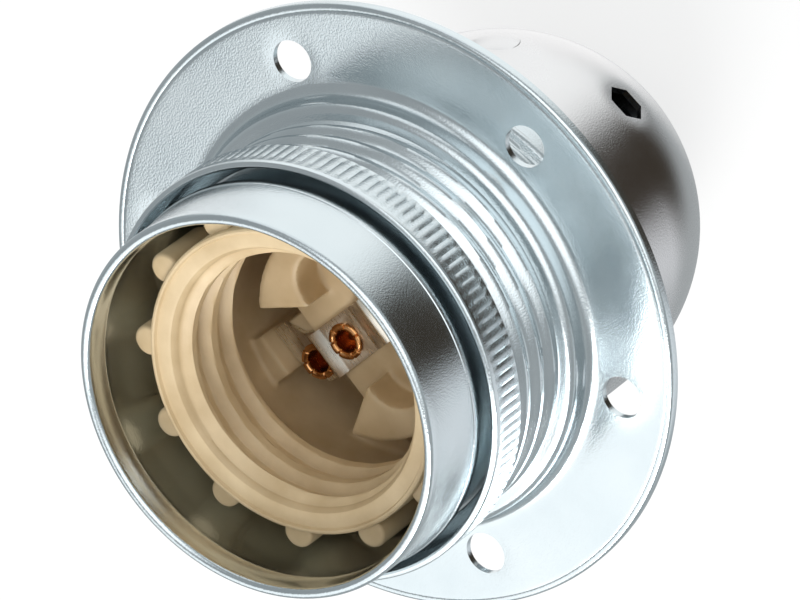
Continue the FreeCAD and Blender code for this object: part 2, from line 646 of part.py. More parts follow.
# ---- All pieces --------------------------------------------------------------------------------
rear_cap = make_rear_cap()
PIECES = {
    "rear_cap": rear_cap,
    "entry_bush": make_entry_bush(),
    "lock_screw": make_lock_screw(),
    "support_bridge": make_support_bridge(),
    "base_screws": make_base_screws(),
    "earth_terminal": make_earth_terminal(),
    "earth_rivet": make_earth_rivet(rear_cap),
    "earth_washer": make_earth_washer(),
    "earth_screw": make_earth_screw(),
    "threaded_skirt": make_threaded_skirt(),
    "flange_ring": make_flange_ring(),
    "thread_insert": make_thread_insert(),
    "contact_base": make_contact_base(),
    "centre_contact": make_centre_contact(),
    "plate_eyelet": make_eyelet(PLATE_EYELET_Y, STRIP_Z),
    "step_eyelet": make_eyelet(STEP_EYELET_Y, STEP_Z),
    "side_contact": make_side_contact(),
    "line_terminal": make_terminal(0),
    "line_screw": make_clamp_screw(0),
    "neutral_terminal": make_terminal(180),
    "neutral_screw": make_clamp_screw(180),
}

os.makedirs("parts", exist_ok=True)
for name, shape in PIECES.items():
    shape.exportStep("parts/" + name + ".step")
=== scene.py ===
# %% [markdown]
# # A screw-shell lampholder
# This lesson dresses a metal lampholder that was drawn in a CAD program. The CAD model gives every
# piece its size and place. Blender adds what a drawing leaves out: rolled threads, a knurled grip,
# a folded rim, moulded ceramic and the look of zinc plating. Each step first says what the real
# thing is, then how it could be made, then why this way was taken.

# %% Load the frame
import math
import bpy
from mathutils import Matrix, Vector


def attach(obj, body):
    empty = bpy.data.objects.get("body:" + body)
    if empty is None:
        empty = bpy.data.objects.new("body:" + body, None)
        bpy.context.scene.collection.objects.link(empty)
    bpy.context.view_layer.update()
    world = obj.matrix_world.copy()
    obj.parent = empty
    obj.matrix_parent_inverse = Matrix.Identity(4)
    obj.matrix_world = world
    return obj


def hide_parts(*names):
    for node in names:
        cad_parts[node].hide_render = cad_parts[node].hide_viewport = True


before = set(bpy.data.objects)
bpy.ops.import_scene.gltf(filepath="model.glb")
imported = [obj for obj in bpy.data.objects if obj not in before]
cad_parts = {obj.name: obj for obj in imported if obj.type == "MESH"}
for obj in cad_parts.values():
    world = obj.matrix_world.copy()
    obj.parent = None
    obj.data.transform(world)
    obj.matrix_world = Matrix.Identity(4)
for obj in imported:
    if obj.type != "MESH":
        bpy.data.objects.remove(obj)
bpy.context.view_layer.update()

bpy.ops.object.select_all(action="DESELECT")
print("CAD nodes:", ", ".join(sorted(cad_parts)))

# %% [markdown]
# ## Units and colours
# The drawing is in millimetres and Blender is in metres, so one value converts them. Colours are
# easiest to pick as the hex numbers of a paint chart. Blender's shaders want linear light, so one
# function turns a hex number into that.

# %% Units and colours
MM = 0.001


def tint(hex_text):
    """A colour chart's hex number as linear light."""
    linear = []
    for start in (1, 3, 5):
        value = int(hex_text[start:start + 2], 16) / 255
        linear.append(value / 12.92 if value <= 0.04045 else ((value + 0.055) / 1.055) ** 2.4)
    return (*linear, 1.0)


print("zinc as linear light:", [round(part, 3) for part in tint("#C9D3D8")])

# %% [markdown]
# ## One function for shader nodes
# A material is a small network of nodes. Writing each node takes three things: its kind, its
# settings, and what goes into its sockets. One function does this for every node, and a socket
# takes either a number or another node's output.

# %% Shader nodes
def add_node(tree, kind, settings, sockets):
    made = tree.nodes.new(kind)
    for name, value in settings.items():
        setattr(made, name, value)
    for name, value in sockets.items():
        if isinstance(value, bpy.types.NodeSocket):
            tree.links.new(value, made.inputs[name])
        else:
            made.inputs[name].default_value = value
    return made


def new_material(name):
    material = bpy.data.materials.new(name)
    material.use_nodes = True
    tree = material.node_tree
    place = add_node(tree, "ShaderNodeTexCoord", {}, {}).outputs["Object"]
    return material, tree, tree.nodes["Principled BSDF"], place


print("node function ready")

# %% [markdown]
# ## Zinc plate
# The shells are steel sheet, spun and rolled, then zinc plated and passivated. The plate is a
# bluish white metal. Its crystals are fine, so a reflection in it is soft and looks slightly
# grainy, and the passivation clouds it a little from place to place. A metallic shader gives the
# reflection. A wide noise changes its colour and roughness, and a fine noise bends it. Real
# crystals are finer than the 0.18 mm used here, which is as coarse as they need to be to show.
#
# The shells are bright. The cap was drawn deeper, which leaves it a little more grainy and less
# blue. The small parts inside are barrel plated and duller.

# %% Zinc plate
CLOUD = 9.0
CRYSTAL = 0.18


def zinc_plate(name, light, deep, smooth, rough, grain):
    material, tree, shader, place = new_material(name)
    cloud = add_node(tree, "ShaderNodeTexNoise", {},
                     {"Vector": place, "Scale": 1 / (CLOUD * MM), "Detail": 4.0}).outputs["Fac"]
    fine = add_node(tree, "ShaderNodeTexNoise", {},
                    {"Vector": place, "Scale": 1 / (CRYSTAL * MM), "Detail": 2.0}).outputs["Fac"]
    colour = add_node(tree, "ShaderNodeMix", {"data_type": "RGBA"},
                      {"Factor": cloud, "A": tint(deep), "B": tint(light)})
    tree.links.new(colour.outputs["Result"], shader.inputs["Base Color"])
    both = add_node(tree, "ShaderNodeMath", {"operation": "MULTIPLY_ADD"},
                    {0: fine, 1: 0.5, 2: cloud})
    spread = add_node(tree, "ShaderNodeMapRange", {},
                      {"Value": both.outputs["Value"], "From Min": 0.5, "From Max": 1.0,
                       "To Min": smooth, "To Max": rough})
    tree.links.new(spread.outputs["Result"], shader.inputs["Roughness"])
    bump = add_node(tree, "ShaderNodeBump", {},
                    {"Height": fine, "Strength": grain, "Distance": 0.02 * MM})
    tree.links.new(bump.outputs["Normal"], shader.inputs["Normal"])
    shader.inputs["Metallic"].default_value = 1.0
    return material


zinc = zinc_plate("bright zinc plate", light="#DCE3E5", deep="#C3CDD1",
                  smooth=0.13, rough=0.26, grain=0.85)
cap_zinc = zinc_plate("drawn zinc plate", light="#E2E2E3", deep="#CDCCCC",
                      smooth=0.17, rough=0.30, grain=0.6)
dull_zinc = zinc_plate("dull zinc plate", light="#BEC4C6", deep="#9FA6A9",
                       smooth=0.30, rough=0.45, grain=0.40)
print("materials:", zinc.name, "and", cap_zinc.name, "and", dull_zinc.name)

# %% [markdown]
# ## Moulded ceramic
# The inside is steatite, pressed as a damp powder and fired without a glaze. It is a warm beige,
# almost matt, with a powdery grain and faint clouds from the pressing. A dielectric shader with a
# wide cloud of colour and a shallow grain of 0.4 mm gives that.

# %% Moulded ceramic
PRESSING = 5.0
POWDER = 0.4
ceramic, tree, shader, place = new_material("unglazed steatite")
cloud = add_node(tree, "ShaderNodeTexNoise", {},
                 {"Vector": place, "Scale": 1 / (PRESSING * MM), "Detail": 5.0})
ramp = add_node(tree, "ShaderNodeValToRGB", {}, {"Fac": cloud.outputs["Fac"]})
ramp.color_ramp.elements[0].position = 0.3
ramp.color_ramp.elements[0].color = tint("#BBA27B")
ramp.color_ramp.elements[1].position = 0.7
ramp.color_ramp.elements[1].color = tint("#D2BB95")
tree.links.new(ramp.outputs["Color"], shader.inputs["Base Color"])
powder = add_node(tree, "ShaderNodeTexNoise", {},
                  {"Vector": place, "Scale": 1 / (POWDER * MM), "Detail": 3.0})
bump = add_node(tree, "ShaderNodeBump", {},
                {"Height": powder.outputs["Fac"], "Strength": 0.25, "Distance": 0.05 * MM})
tree.links.new(bump.outputs["Normal"], shader.inputs["Normal"])
shader.inputs["Roughness"].default_value = 0.5
shader.inputs["IOR"].default_value = 1.5
print("material:", ceramic.name)

# %% [markdown]
# ## Brass, nickel and copper
# The terminals are turned brass, the contact strips are nickel-plated spring bronze, and the
# eyelets are copper. All three are cut or rolled, so their grain runs in fine lines. They share one
# recipe: a metal whose colour and roughness follow a noise that is stretched along X, with lines
# 0.15 mm apart.

# %% Brass, nickel and copper
LINES = 0.15
STRETCH = 0.12


def rolled_metal(name, light, deep, smooth, rough):
    material, tree, shader, place = new_material(name)
    stretched = add_node(tree, "ShaderNodeMapping", {},
                         {"Vector": place, "Scale": (STRETCH, 1.0, 1.0)}).outputs["Vector"]
    lines = add_node(tree, "ShaderNodeTexNoise", {},
                     {"Vector": stretched, "Scale": 1 / (LINES * MM), "Detail": 3.0}).outputs["Fac"]
    colour = add_node(tree, "ShaderNodeMix", {"data_type": "RGBA"},
                      {"Factor": lines, "A": tint(deep), "B": tint(light)})
    tree.links.new(colour.outputs["Result"], shader.inputs["Base Color"])
    spread = add_node(tree, "ShaderNodeMapRange", {},
                      {"Value": lines, "To Min": smooth, "To Max": rough})
    tree.links.new(spread.outputs["Result"], shader.inputs["Roughness"])
    bump = add_node(tree, "ShaderNodeBump", {},
                    {"Height": lines, "Strength": 0.15, "Distance": 0.01 * MM})
    tree.links.new(bump.outputs["Normal"], shader.inputs["Normal"])
    shader.inputs["Metallic"].default_value = 1.0
    return material


brass = rolled_metal("turned brass", light="#E8C878", deep="#B98F45", smooth=0.18, rough=0.38)
nickel = rolled_metal("nickel-plated bronze", light="#F0EBE1", deep="#CFC6B6",
                      smooth=0.20, rough=0.38)
copper = rolled_metal("copper", light="#E5B27C", deep="#B57A48", smooth=0.14, rough=0.34)
print("materials:", brass.name, nickel.name, copper.name)

# %% [markdown]
# ## Finishing the CAD nodes
# The hidden pieces keep the shape that the drawing gave them: their solids are already right. Each
# gets the finish of the real one, put into the material slots of its object.

# %% Finishes of the CAD nodes
FINISHES = {
    "lock_screw": dull_zinc,
    "support_bridge": dull_zinc,
    "base_screws": dull_zinc,
    "earth_terminal": dull_zinc,
    "earth_washer": dull_zinc,
    "earth_screw": dull_zinc,
    "side_contact": nickel,
    "line_terminal": brass,
    "line_screw": dull_zinc,
    "neutral_terminal": brass,
    "neutral_screw": dull_zinc,
}
for name, finish in FINISHES.items():
    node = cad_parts[name]
    for slot in node.material_slots:
        slot.material = finish
print("finished", len(FINISHES), "CAD nodes")

# %% [markdown]
# ## A helper for turned shapes
# Almost everything here is round. The real shells are spun over a form on a lathe, so the natural
# way is the same: draw half a section and turn it about the axis. By hand that is a single vertex,
# extruded from point to point, and then Spin. The spin's last column lands on its first, so the
# doubles are merged, and then the faces are told which side is out. The first two helpers draw such
# a line, and later pieces that aren't round use them too.

# %% A helper for turned shapes
DOUBLES = 0.001 * MM


def draw(name, points):
    """A new piece in edit mode: one vertex, extruded from point to point in millimetres."""
    bpy.ops.object.select_all(action="DESELECT")
    bpy.ops.mesh.primitive_plane_add(size=MM, location=(0, 0, 0))
    piece = bpy.context.object
    piece.name = name
    bpy.ops.object.mode_set(mode="EDIT")
    bpy.ops.mesh.merge(type="CENTER")
    bpy.ops.transform.translate(value=[part * MM for part in points[0]])
    for here, there in zip(points, points[1:]):
        step = [(new - old) * MM for old, new in zip(here, there)]
        bpy.ops.mesh.extrude_region_move(TRANSFORM_OT_translate={"value": step})
    return piece


def weld():
    """Merges the doubles of the mesh that is in edit mode."""
    bpy.ops.mesh.select_all(action="SELECT")
    bpy.ops.mesh.remove_doubles(threshold=DOUBLES)


def turn(name, section, columns):
    """A closed section of (radius, height) points in millimetres, spun about the axis."""
    piece = draw(name, [(radius, 0, height) for radius, height in section + section[:1]])
    weld()
    bpy.ops.mesh.spin(steps=columns, angle=math.tau, center=(0, 0, 0), axis=(0, 0, 1))
    weld()
    bpy.ops.mesh.normals_make_consistent(inside=False)
    bpy.ops.object.mode_set(mode="OBJECT")
    return piece


def bow(middle, radius, first, last, points):
    """Points along an arc of the section, from one angle to another in degrees."""
    made = []
    for k in range(points + 1):
        angle = math.radians(first + (last - first) * k / points)
        made.append((middle[0] + radius * math.cos(angle), middle[1] + radius * math.sin(angle)))
    return made


def rows(radius, low, high, count):
    """Evenly spaced points up a straight wall."""
    return [(radius, low + (high - low) * k / count) for k in range(count + 1)]


print("turning helpers ready")


# %% [markdown]
# ## Helpers that finish a piece
# A finished piece is smoothed where its faces meet at a gentle angle, gets its material, hides
# the CAD nodes that it stands for, and hangs under the empty of the body it moves with. A modifier
# is added and applied in one go, and one punch cuts or joins as often as needed.

# %% Helpers that finish a piece
SMOOTH_ANGLE = math.radians(32)


def select_only(piece):
    """Makes a piece the only one that operators act on."""
    bpy.ops.object.select_all(action="DESELECT")
    piece.select_set(True)
    bpy.context.view_layer.objects.active = piece


def finish(piece, material, body, *nodes):
    """Smooths a piece, gives it its finish, and lets it stand for its CAD nodes."""
    select_only(piece)
    bpy.ops.object.shade_smooth_by_angle(angle=SMOOTH_ANGLE)
    piece.data.materials.clear()
    piece.data.materials.append(material)
    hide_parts(*nodes)
    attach(piece, body)
    print(piece.name, "has", len(piece.data.polygons), "faces")


def use(piece, kind, settings):
    """Adds a modifier with its settings and applies it."""
    select_only(piece)
    modifier = piece.modifiers.new(kind.lower(), kind)
    for name, value in settings.items():
        setattr(modifier, name, value)
    bpy.ops.object.modifier_apply(modifier=modifier.name)


def join_in(piece, other, operation, **settings):
    """Adds one shape to a piece or cuts it out, and clears it away."""
    use(piece, "BOOLEAN", {"object": other, "operation": operation, "solver": "EXACT", **settings})
    bpy.data.objects.remove(other)


def post(name, radius, x, y, low, high, sides=96):
    """A round post or punch that stands along Z."""
    bpy.ops.object.select_all(action="DESELECT")
    bpy.ops.mesh.primitive_cylinder_add(
        vertices=sides, radius=radius * MM, depth=(high - low) * MM,
        location=(x * MM, y * MM, (low + high) / 2 * MM))
    piece = bpy.context.object
    piece.name = name
    bpy.ops.object.transform_apply(location=True)
    return piece


def copy_round(count):
    """Copies the mesh that is in edit mode round the axis, at even steps."""
    bpy.ops.mesh.select_all(action="SELECT")
    bpy.ops.mesh.spin(steps=count, dupli=True, angle=math.tau, center=(0, 0, 0), axis=(0, 0, 1))
    weld()


def drawn_in(away, reach):
    """How far a punch draws the sheet with it: 1 at its centre, fading to 0 at its reach."""
    return 0.5 + 0.5 * math.cos(math.pi * away / reach)


print("finishing helpers ready")

# %% [markdown]
# ## A helper for rolled threads
# A thread is a wave that climbs one pitch in each turn. The wall is spun plain, with about ten rows
# of vertices in each pitch. Then each vertex of that wall moves in or out by the wave's height at
# its own place round the axis. The wave fades in and out at the ends, as it does where the rolls
# leave the sheet.

# %% A helper for rolled threads
def roll_thread(piece, wall, low, high, pitch, depth, fade, steep):
    """Moves the vertices of a wall by a helical wave. A negative depth cuts inwards."""
    moved = 0
    for vertex in piece.data.vertices:
        x, y, z = vertex.co / MM
        radius = math.hypot(x, y)
        if abs(radius - wall) > 0.004 or not low <= z <= high:
            continue
        climb = (z - low) / pitch - math.atan2(y, x) / math.tau
        wave = min(1.0, max(0.0, 0.5 + steep * math.cos(math.tau * climb)))
        edge = min(1.0, (z - low) / fade, (high - z) / fade)
        grown = radius + depth * wave * edge
        vertex.co.x = x * grown / radius * MM
        vertex.co.y = y * grown / radius * MM
        moved += 1
    print(piece.name, "thread moved", moved, "vertices")


print("thread helper ready")

# %% [markdown]
# ## Threaded skirt
# The skirt is one piece of sheet: a plain tail that goes into the cap, a rolled M40 thread that
# the flange ring runs on, a plain neck, and a collar whose edge is folded inwards, so that no
# sharp edge meets the lamp or the hand. It is turned from one closed section, 0.55 mm thick. The
# thread is rolled only where it can be seen. The neck under the ring stays plain, so that the
# ring turns freely.

# %% Threaded skirt
RING_PITCH = 2.5
section = [(18.17, 24.8), (18.72, 24.8), (18.72, 31.05), (19.2, 31.4)]
section += rows(19.2, 31.9, 43.4, 46)
section += [(19.2, 50.0), (19.2, 58.9)]
section += bow((19.6, 59.5), 0.55, -20, 0, 3)
section += [(20.15, 59.7), (20.15, 60.25), (20.12, 60.36), (20.04, 60.42), (20.02, 60.6)]
section += [(19.95, 61.3), (19.84, 63.0), (19.77, 64.4), (19.77, 66.0)]
section += bow((19.22, 66.8), 0.55, 0, 180, 12)
section += [(18.67, 66.0), (18.67, 64.95), (18.6, 64.78), (18.56, 64.6), (18.62, 64.43)]
section += [(18.8, 64.36), (19.12, 64.38), (19.2, 64.2), (19.3, 63.0), (19.36, 61.6)]
section += [(19.3, 60.6), (19.0, 59.0), (18.72, 57.4), (18.65, 56.0), (18.65, 50.0)]
section += [(18.65, 31.4), (18.17, 31.05)]
skirt = turn("screwed_skirt", section, 256)
roll_thread(skirt, wall=19.2, low=32.4, high=43.1, pitch=RING_PITCH, depth=0.78,
            fade=1.2, steep=0.55)
finish(skirt, zinc, "skirt", "threaded_skirt")

# %% [markdown]
# ## Flange ring
# The ring is pressed from one disc: a flat flange with six screw holes and a turned-down edge, a
# rounded shoulder, a sleeve with a rolled thread, and a knurled grip band at the front. The section
# is turned in 512 columns, four for each of the 128 knurls, so that pressing every fourth column in
# makes the knurling.

# %% Flange ring section
RING_COLUMNS = 512
KNURL_COLUMNS = 4
BAND = 21.75
section = [(30.85, 42.0), (31.42, 42.0), (31.5, 42.08)]
section += bow((31.1, 42.72), 0.4, 0, 90, 6)
section += [(30.9, 43.14), (30.8, 43.1), (30.7, 43.14), (30.4, 43.15)]
section += [(29.8 - 0.8 * k, 43.15) for k in range(8)]
section += bow((23.6, 44.45), 1.3, -90, -180, 8)
section += bow((21.3, 45.05), 1.0, 0, 90, 8)
section += rows(20.78, 46.15, 54.0, 38)
section += [(21.0, 54.2), (21.6, 54.55), (BAND, 54.7)]
section += rows(BAND, 54.95, 58.35, 6)
section += [(BAND, 58.6), (21.68, 58.8), (21.5, 58.93), (21.25, 58.95), (21.08, 58.85)]
section += [(21.05, 58.6), (21.05, 54.9), (20.9, 54.75), (19.6, 53.6), (19.45, 53.4)]
section += [(19.45, 46.6), (19.7, 46.0), (20.2, 45.45), (21.3, 45.3), (21.6, 45.0), (21.6, 44.45)]
section += bow((23.6, 44.45), 2.0, -180, -90, 8)
section += [(24.6 + 0.8 * k, 42.45) for k in range(8)]
section += [(30.65, 42.44), (30.8, 42.3)]
ring = turn("flange_and_grip", section, RING_COLUMNS)
roll_thread(ring, wall=20.78, low=46.25, high=53.75, pitch=RING_PITCH, depth=-0.75,
            fade=0.6, steep=0.6)

# %% [markdown]
# ## Knurling and the flange's holes
# The knurl is rolled straight across the band, at a pitch of about 1.1 mm. The screw holes are
# punched, and the punch draws the sheet down a little round each hole. So the vertices near a hole
# sink by up to 0.14 mm first, and then a Boolean takes the holes out. The six punches are one
# cylinder, spun round the axis as copies.

# %% Knurling and holes
KNURL_BOTTOM = 21.66
HOLES = 6
HOLE_START = 40.5
HOLE_CIRCLE = 26.1
HOLE_RADIUS = 2.15
HOLE_DIP = 0.14
DIP_REACH = 3.6
FLANGE_TOP = 43.3

centres = []
for k in range(HOLES):
    angle = math.radians(HOLE_START + 360 / HOLES * k)
    centres.append((HOLE_CIRCLE * math.cos(angle), HOLE_CIRCLE * math.sin(angle)))
for vertex in ring.data.vertices:
    x, y, z = vertex.co / MM
    column = round(math.atan2(y, x) / math.tau * RING_COLUMNS)
    on_band = abs(math.hypot(x, y) - BAND) < 0.01 and 54.9 < z < 58.0
    if on_band and column % KNURL_COLUMNS == 0:
        vertex.co *= Vector((KNURL_BOTTOM / BAND, KNURL_BOTTOM / BAND, 1))
    for centre in centres:
        away = math.hypot(x - centre[0], y - centre[1])
        if z < FLANGE_TOP and away < DIP_REACH:
            vertex.co.z -= HOLE_DIP * MM * drawn_in(away, DIP_REACH)

punch = post("punch", HOLE_RADIUS, *centres[0], low=41, high=45, sides=48)
bpy.ops.object.mode_set(mode="EDIT")
copy_round(HOLES)
bpy.ops.object.mode_set(mode="OBJECT")
print("punch has", len(punch.data.vertices), "vertices")
join_in(ring, punch, "DIFFERENCE", use_self=True)
finish(ring, zinc, "ring", "flange_ring")

# %% [markdown]
# ## Rear cap
# The cap is a deep-drawn shell: half a sphere with a straight wall and a flat bottom for the cable
# entry. A hexagonal hole in the dome lets a tool release the lock. The cap is turned from one
# section. The sheet round the hole is drawn in by up to 0.35 mm, as it is round the flange's holes,
# and a six-sided punch cuts the hole.

# %% Rear cap
CAP_OUTSIDE = 19.5
CAP_INSIDE = 18.8
CAP_MIDDLE = 22.283
CAP_END = 4.5
CAP_FLOOR = 5.2
KEY_WIDTH = 3.7
KEY_HEIGHT = 18.28
KEY_AZIMUTH = math.radians(-82.5)
KEY_DIP = 0.35 / 19

low = math.degrees(math.asin((CAP_END - CAP_MIDDLE) / CAP_OUTSIDE))
section = bow((0, CAP_MIDDLE), CAP_OUTSIDE, low, 0, 40) + rows(CAP_OUTSIDE, 23.5, 30.4, 6)
section += [(19.4, 30.7), (19.15, 30.78), (18.9, 30.7), (CAP_INSIDE, 30.4)]
low = math.degrees(math.asin((CAP_FLOOR - CAP_MIDDLE) / CAP_INSIDE))
section += bow((0, CAP_MIDDLE), CAP_INSIDE, 0, low, 36)
section += [(6.52, CAP_FLOOR), (6.52, CAP_END)]
cap = turn("domed_cap", section, 192)
key_side = (math.cos(KEY_AZIMUTH), math.sin(KEY_AZIMUTH))
for vertex in cap.data.vertices:
    x, y, z = vertex.co / MM
    across = x * key_side[1] - y * key_side[0]
    outwards = x * key_side[0] + y * key_side[1]
    away = math.hypot(across, z - KEY_HEIGHT)
    if outwards > 12 and away < DIP_REACH:
        sunk = 1 - KEY_DIP * drawn_in(away, DIP_REACH)
        vertex.co.x *= sunk
        vertex.co.y *= sunk
bpy.ops.object.select_all(action="DESELECT")
bpy.ops.mesh.primitive_cylinder_add(
    vertices=6, radius=KEY_WIDTH / math.sqrt(3) * MM, depth=8 * MM,
    location=(18.5 * MM * key_side[0], 18.5 * MM * key_side[1], KEY_HEIGHT * MM),
    rotation=(0, math.radians(90), KEY_AZIMUTH))
join_in(cap, bpy.context.object, "DIFFERENCE")
finish(cap, cap_zinc, "holder", "rear_cap")

# %% [markdown]
# ## Earth rivet
# A rivet holds the earth plate to the cap, and its low domed head shows on the outside. It is
# turned about Z like the rest, then laid over on its side, swung round to its place and raised,
# and its place is applied.

# %% Earth rivet
RIVET_AZIMUTH = math.radians(-40)
RIVET_HEIGHT = 21.303
section = [(0, 16.5), (1.6, 16.5), (1.9, 16.65), (1.9, 17.0), (1.5, 17.05), (1.5, 18.0)]
section += [(2.5, 18.0), (2.5, 19.22), (2.42, 19.36), (2.2, 19.47), (1.8, 19.59), (1.2, 19.7)]
section += [(0.6, 19.76), (0, 19.78)]
rivet = turn("earth_rivet_head", section, 64)
rivet.rotation_euler = (0, math.radians(90), RIVET_AZIMUTH)
rivet.location = (0, 0, RIVET_HEIGHT * MM)
bpy.ops.object.transform_apply(location=True, rotation=True)
finish(rivet, cap_zinc, "holder", "earth_rivet")

# %% [markdown]
# ## Threaded cable entry
# The entry is a turned steel bush with an M10 thread of 1 mm pitch. A short flange seats it in the
# cap, and its end is riveted over the bridge. The bore's wall has rows for the thread, as the skirt
# has, and the thread cuts outwards into the bush.

# %% Threaded cable entry
ENTRY_BORE = 4.5
section = [(5.0, 0.0), (6.1, 0.0), (6.4, 0.12), (6.5, 0.4), (6.5, CAP_FLOOR), (7.5, CAP_FLOOR)]
section += [(7.6, 5.3), (7.6, 6.3), (7.5, 6.4), (5.62, 6.4), (5.62, 7.4), (6.5, 7.4), (6.55, 7.5)]
section += [(6.3, 7.85), (6.1, 7.9), (4.6, 7.9), (ENTRY_BORE, 7.8)]
section += [(ENTRY_BORE, 7.7 - 0.09 * k) for k in range(82)]
bush = turn("threaded_entry", section, 96)
roll_thread(bush, wall=ENTRY_BORE, low=0.4, high=7.7, pitch=1.0, depth=0.42, fade=0.5, steep=0.5)
finish(bush, dull_zinc, "holder", "entry_bush")

# %% [markdown]
# ## Ceramic insert
# The insert guides the lamp's thread, and twelve round lugs on its outside keep it away from the
# metal skirt. The ring is turned with the lamp's round thread in its bore, at a pitch of 3.629 mm.
# One lug is a cylinder with softened edges, spun as copies, and a Boolean joins them to the ring.

# %% Ceramic insert
LAMP_PITCH = 3.629
LAMP_ROOT = 13.37
LUGS = 12
LUG_RADIUS = 1.55
LUG_CIRCLE = 16.5
LUG_START = math.radians(17)

section = [(15.85, 50.6), (15.85, 60.7), (15.75, 60.98), (15.55, 61.08), (15.35, 61.05)]
section += [(15.27, 60.85), (15.2, 60.74), (14.1, 60.72), (13.75, 60.6), (13.45, 60.2)]
section += [(LAMP_ROOT, 59.9 - 0.15 * k) for k in range(60)]
section += [(13.3, 50.7), (13.4, 50.5), (15.7, 50.5)]
insert = turn("ceramic_insert", section, 192)
roll_thread(insert, wall=LAMP_ROOT, low=51.0, high=59.9, pitch=LAMP_PITCH, depth=-1.05,
            fade=0.9, steep=0.85)
lug = post("lug", LUG_RADIUS, LUG_CIRCLE, 0, low=53.3, high=60.4, sides=40)
use(lug, "BEVEL", {"width": 0.4 * MM, "segments": 3, "limit_method": "ANGLE"})
bpy.ops.object.mode_set(mode="EDIT")
bpy.ops.mesh.select_all(action="SELECT")
bpy.ops.transform.rotate(value=-LUG_START, orient_axis="Z", center_override=(0, 0, 0))
copy_round(LUGS)
bpy.ops.object.mode_set(mode="OBJECT")
join_in(insert, lug, "UNION")
finish(insert, ceramic, "holder", "thread_insert")

# %% [markdown]
# ## Helpers for blocks
# Shapes that aren't round start from an outline in plan, drawn point to point, filled and raised.
# A plane trims what should end flat, and many moulded shapes come in pairs, half a turn apart.

# %% Helpers for blocks
def plate(name, outline, low, high):
    """A straight-sided block from its outline in plan, in millimetres."""
    piece = draw(name, [(x, y, low) for x, y in outline])
    bpy.ops.mesh.select_all(action="SELECT")
    bpy.ops.mesh.edge_face_add()
    raised = (0, 0, (high - low) * MM)
    bpy.ops.mesh.extrude_region_move(TRANSFORM_OT_translate={"value": raised})
    bpy.ops.mesh.select_all(action="SELECT")
    bpy.ops.mesh.normals_make_consistent(inside=False)
    bpy.ops.object.mode_set(mode="OBJECT")
    return piece


def trim(point, normal):
    """Cuts off the active piece beyond a plane, on the side that its normal points to."""
    bpy.ops.object.mode_set(mode="EDIT")
    bpy.ops.mesh.select_all(action="SELECT")
    bpy.ops.mesh.bisect(plane_co=[part * MM for part in point], plane_no=normal,
                        use_fill=True, clear_outer=True)
    bpy.ops.object.mode_set(mode="OBJECT")


def half_turned(piece):
    """Adds a second copy of a shape, half a turn round the axis."""
    select_only(piece)
    bpy.ops.object.mode_set(mode="EDIT")
    bpy.ops.mesh.select_all(action="SELECT")
    bpy.ops.mesh.duplicate()
    bpy.ops.transform.rotate(value=math.pi, orient_axis="Z", center_override=(0, 0, 0))
    bpy.ops.object.mode_set(mode="OBJECT")
    return piece


print("block helpers ready")

# %% [markdown]
# ## Ceramic base
# The base is pressed as one block: a cup that holds the insert, a table for the contact strip, two
# curved cheeks beside it with a round pocket each, and a few blocks and ledges round them. Powder
# pressing leaves every edge rounded. So the block is put together from plain shapes with Booleans,
# as a toolmaker cuts the die. Then a voxel remesh and a smoothing pass soften all of it at once.
# Each shape starts 0.7 mm below the cup's floor, so that no two faces of the Booleans coincide.

# %% Ceramic base
SUNK = 35.5
TABLE_TOP = 44.72
CHEEK_TOP = 48.6
INNER_EYELET = 5.1
OUTER_EYELET = 11.2
BOSS_AT = math.radians(50)

cup = [(0, 34.0), (17.6, 34.0), (17.6, 53.1), (15.97, 53.1), (15.97, 36.2), (0, 36.2)]
base = turn("ceramic_base", cup, 160)
table = post("table", 9.8, 0, 0, SUNK, TABLE_TOP)
for side in (1, -1):
    trim((0, side * 8.2, 0), (0, side, 0))
cheek = post("cheek", 11.6, 0, 0, SUNK, CHEEK_TOP)
trim((4.75, 0, 0), (-1, 0, 0))
trim((4.75, 3.6, 0), (-0.89, 0.46, 0))
trim((4.75, -3.6, 0), (-0.89, -0.46, 0))
join_in(cheek, post("pocket", 3.4, 5.4, 0, TABLE_TOP, 50), "DIFFERENCE")
block = plate("block", [(0.6, 13.6), (5.4, 13.6), (5.4, 16.3), (0.6, 16.3)], SUNK, 45.2)
ledge = plate("ledge", [(-16.3, 8.6), (-7.4, 8.6), (-7.4, 15.0), (-16.3, 15.0)], SUNK, 42.5)
join_in(ledge, post("cup_edge", 16.6, 0, 0, 34, 50), "INTERSECT")
step = plate("step", [(-2.4, 7.5), (4.9, 7.5), (4.9, 14.0), (1.2, 13.3), (-2.1, 11.5)], SUNK, 42.7)
boss = post("boss", 2.2, 15.3 * math.cos(BOSS_AT), 15.3 * math.sin(BOSS_AT), SUNK, 39.2)
join_in(base, table, "UNION")
for shape in (cheek, block, ledge):
    join_in(base, half_turned(shape), "UNION")
join_in(base, step, "UNION")
join_in(base, post("inner_eyelet_hole", 1.5, 0, INNER_EYELET, 41.4, 46), "DIFFERENCE")
join_in(base, post("outer_eyelet_hole", 1.5, 0, OUTER_EYELET, 39.4, 46), "DIFFERENCE")
join_in(base, half_turned(boss), "UNION")
use(base, "REMESH", {"mode": "VOXEL", "voxel_size": 0.26 * MM})
use(base, "SMOOTH", {"factor": 0.5, "iterations": 4})
use(base, "DECIMATE", {"ratio": 0.5})
finish(base, ceramic, "holder", "contact_base")

# %% [markdown]
# ## Contact strip
# The centre contact is one bent strip of spring bronze, nickel plated. Its tongue rises to meet the
# lamp, its middle lies on the table, a small lip turns up at the step, and its end plate lies lower
# with an ear at one corner. A vertex is extruded along the bends, the line is pulled out to the
# strip's width, and Solidify gives it the sheet's thickness.

# %% Contact strip
STRIP_WIDTH = 5.0
SHEET = 0.42
STRIP_TOP = 45.22
TAIL_TOP = 43.28

